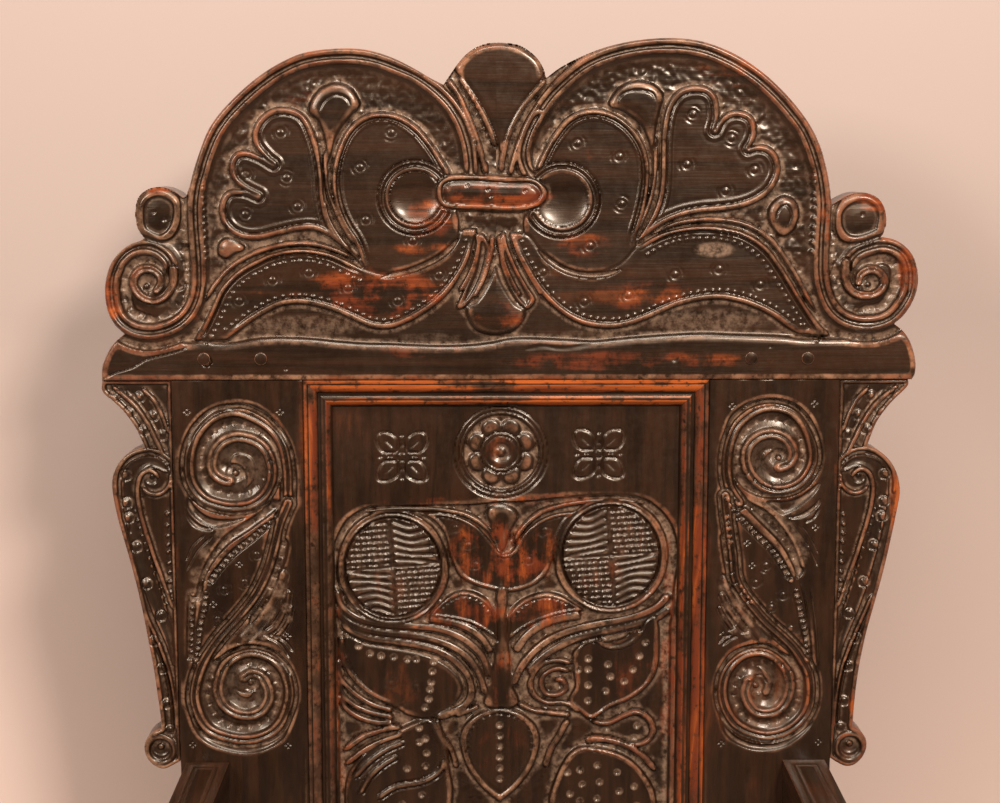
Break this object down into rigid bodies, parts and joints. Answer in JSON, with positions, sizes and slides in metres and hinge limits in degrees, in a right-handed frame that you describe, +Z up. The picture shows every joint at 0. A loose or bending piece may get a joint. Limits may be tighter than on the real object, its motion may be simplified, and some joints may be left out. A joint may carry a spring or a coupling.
{
  "type": "wainscot chair",
  "caption": "Joined oak armchair with a tall carved panelled back, scrolled crest and ears, turned front legs, boarded seat and box stretchers.",
  "frame": {"origin": "on the floor, under the middle of the chair's bounding box", "axes": "+Z up, -Y the way the sitter faces, +X to the right as seen from the front"},
  "size_m": [0.638, 0.5506, 1.2366],
  "materials": {
    "posts": "carved oak posts, dark and waxed",
    "crest": "carved oak crest, dark and waxed",
    "panel": "carved oak panel, dark and waxed",
    "frame": "plain oak rails, stretchers and legs, dark and waxed",
    "seat": "oak seat boards, worn, dark and waxed",
    "moulding": "moulded oak strips, worn reddish, dark and waxed",
    "pegs": "oak pegs, dark and waxed",
    "nails": "wrought iron, dull"
  },
  "bodies": {
    "root": {"left_back_post": "posts", "right_back_post": "posts", "crest_rail": "crest", "left_ear": "crest", "right_ear": "crest", "back_panel": "panel", "lower_back_rail": "frame", "panel_moulding_top": "moulding", "panel_moulding_bottom": "moulding", "panel_moulding_left": "moulding", "panel_moulding_right": "moulding", "left_arm": "frame", "right_arm": "frame", "left_front_leg": "frame", "right_front_leg": "frame", "front_seat_rail": "frame", "back_seat_rail": "frame", "left_seat_rail": "frame", "right_seat_rail": "frame", "front_stretcher": "frame", "back_stretcher": "frame", "left_stretcher": "frame", "right_stretcher": "frame", "seat_board_front": "seat", "seat_board_middle": "seat", "seat_board_back": "seat", "crest_pegs": "pegs", "lower_back_rail_pegs": "pegs", "front_rail_pegs": "pegs", "back_rail_pegs": "pegs", "side_rail_pegs": "pegs", "stretcher_pegs": "pegs", "arm_pegs": "pegs", "seat_board_pegs": "pegs", "ear_nails": "nails"}
  },
  "joints": []
}
